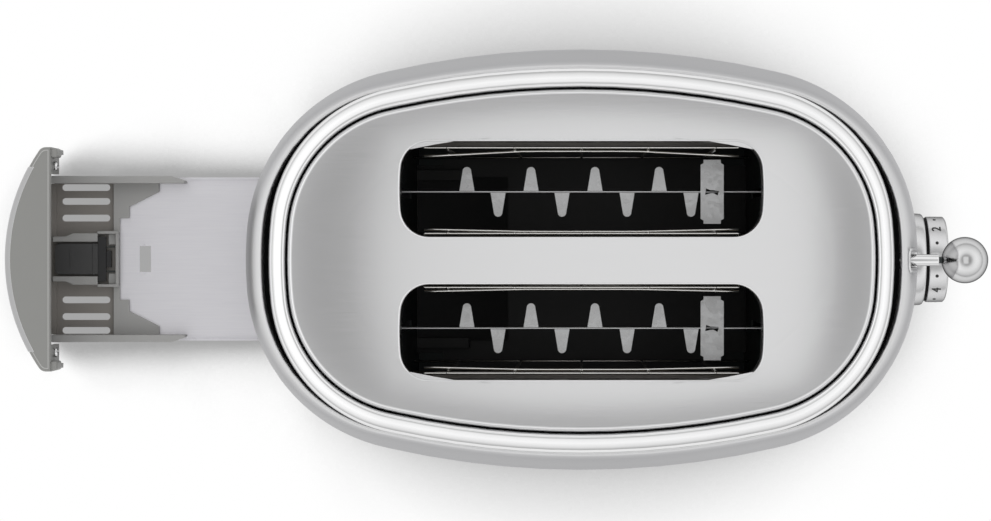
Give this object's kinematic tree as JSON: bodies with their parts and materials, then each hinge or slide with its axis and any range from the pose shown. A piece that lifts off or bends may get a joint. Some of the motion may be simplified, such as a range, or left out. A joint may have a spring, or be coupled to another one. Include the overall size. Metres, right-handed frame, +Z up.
{
  "type": "two-slot toaster",
  "caption": "Oval two-slot toaster with a ball-ended lever, a browning dial, push buttons and a pull-out crumb tray.",
  "frame": {"origin": "on the counter, under the centre of the body's oval", "axes": "+X toward the lever and dial end, -X toward the crumb tray, +Y across the toaster, +Z up"},
  "size_m": [0.4538, 0.195, 0.198],
  "materials": {
    "satin_steel": "satin pressed steel",
    "polished_ring": "polished",
    "brushed_plate": "fine brushed",
    "black_plastic": "fine grain",
    "grey_plastic": "fine grain",
    "taupe_plastic": "fine grain",
    "dark_plastic": "fine grain",
    "green_board": "lacquered board",
    "mica": "pressed mica sheet",
    "galvanised": "galvanised sheet",
    "bright_wire": "bright drawn wire",
    "chromed": "polished",
    "rubber_black": "moulded",
    "copper_coil": "enamelled wire",
    "sheet_steel": "cold rolled"
  },
  "bodies": {
    "toaster_body": {"body_shell": "satin_steel", "crown_ring": "polished_ring", "cover_gasket": "rubber_black", "top_plate": "brushed_plate", "base_moulding": "black_plastic", "rubber_feet": "rubber_black", "cord_gland": "rubber_black", "cord_cleats": "black_plastic", "terminal_block": "grey_plastic", "chassis_front": "galvanised", "chassis_rear": "galvanised", "reflector_left": "galvanised", "reflector_right": "galvanised", "lever_slot_trim": "satin_steel", "guide_rods": "bright_wire", "lift_spring": "bright_wire", "magnet_core": "sheet_steel", "magnet_coil": "copper_coil", "power_switch": "black_plastic", "control_board": "green_board", "tact_switches": "dark_plastic", "potentiometer": "dark_plastic", "dial_bezel": "satin_steel", "dial_seal": "rubber_black", "button_bezels": "chromed", "slot_collar_left": "polished_ring", "heater_board_left_outer": "mica", "heater_winding_left_outer": "bright_wire", "heater_board_left_inner": "mica", "heater_winding_left_inner": "bright_wire", "slot_collar_right": "polished_ring", "heater_board_right_outer": "mica", "heater_winding_right_outer": "bright_wire", "heater_board_right_inner": "mica", "heater_winding_right_inner": "bright_wire"},
    "carriage": {"carriage_plate": "galvanised", "armature": "sheet_steel", "lever_stem": "chromed", "lever_ball": "chromed", "bread_rack_left": "galvanised", "bread_rack_right": "galvanised", "rack_support_left": "galvanised", "rack_support_right": "galvanised"},
    "dial": {"browning_dial": "chromed", "dial_shaft": "grey_plastic"},
    "button_reheat": {"button_reheat": "chromed"},
    "button_defrost": {"button_defrost": "chromed"},
    "button_bagel": {"button_bagel": "chromed"},
    "crumb_tray": {"tray_front": "grey_plastic", "tray_front_skin": "satin_steel", "tray_frame": "taupe_plastic", "tray_sheet": "sheet_steel", "latch_spring": "bright_wire"},
    "tray_latch": {"tray_latch": "dark_plastic"},
    "bread_guard_left_outer": {"bread_guard_left_outer": "bright_wire"},
    "bread_guard_left_inner": {"bread_guard_left_inner": "bright_wire"},
    "bread_guard_right_outer": {"bread_guard_right_outer": "bright_wire"},
    "bread_guard_right_inner": {"bread_guard_right_inner": "bright_wire"}
  },
  "joints": [
    {"name": "lever_slide", "type": "slide", "parent": "toaster_body", "child": "carriage", "axis": [0, 0, 1], "range_m": [-0.052, 0], "stiffness_N_per_m": 60, "springref_m": 0.09, "deforming": ["lift_spring"]},
    {"name": "dial_turn", "type": "hinge", "parent": "toaster_body", "child": "dial", "pos_m": [0.162, 0, 0.062], "axis": [1, 0, 0], "range_deg": [-135, 90]},
    {"name": "tray_slide", "type": "slide", "parent": "toaster_body", "child": "crumb_tray", "axis": [1, 0, 0], "range_m": [-0.1, 0.12]},
    {"name": "tray_latch_push", "type": "slide", "parent": "crumb_tray", "child": "tray_latch", "axis": [1, 0, 0], "range_m": [0, 0.002], "stiffness_N_per_m": 500, "springref_m": -0.001, "deforming": ["latch_spring"]},
    {"name": "reheat_push", "type": "slide", "parent": "toaster_body", "child": "button_reheat", "axis": [-1, 0, 0], "range_m": [0, 0.0025], "stiffness_N_per_m": 400, "springref_m": -0.002},
    {"name": "defrost_push", "type": "slide", "parent": "toaster_body", "child": "button_defrost", "axis": [-1, 0, 0], "range_m": [0, 0.0025], "stiffness_N_per_m": 400, "springref_m": -0.002},
    {"name": "bagel_push", "type": "slide", "parent": "toaster_body", "child": "button_bagel", "axis": [-1, 0, 0], "range_m": [0, 0.0025], "stiffness_N_per_m": 400, "springref_m": -0.002},
    {"name": "guard_lean_left_outer", "type": "hinge", "parent": "toaster_body", "child": "bread_guard_left_outer", "pos_m": [0, 0.0486, 0.05], "axis": [1, 0, 0], "range_deg": [-0.2, 4.2]},
    {"name": "guard_lean_left_inner", "type": "hinge", "parent": "toaster_body", "child": "bread_guard_left_inner", "pos_m": [0, 0.0122, 0.05], "axis": [1, 0, 0], "range_deg": [-4.2, 0.2]},
    {"name": "guard_lean_right_outer", "type": "hinge", "parent": "toaster_body", "child": "bread_guard_right_outer", "pos_m": [0, -0.0486, 0.05], "axis": [1, 0, 0], "range_deg": [-4.2, 0.2]},
    {"name": "guard_lean_right_inner", "type": "hinge", "parent": "toaster_body", "child": "bread_guard_right_inner", "pos_m": [0, -0.0122, 0.05], "axis": [1, 0, 0], "range_deg": [-0.2, 4.2]}
  ],
  "couplings": [
    {"joint": "guard_lean_left_outer", "follows": "lever_slide", "rad_per_m": -1.3426},
    {"joint": "guard_lean_left_inner", "follows": "lever_slide", "rad_per_m": 1.3426},
    {"joint": "guard_lean_right_outer", "follows": "lever_slide", "rad_per_m": 1.3426},
    {"joint": "guard_lean_right_inner", "follows": "lever_slide", "rad_per_m": -1.3426}
  ]
}
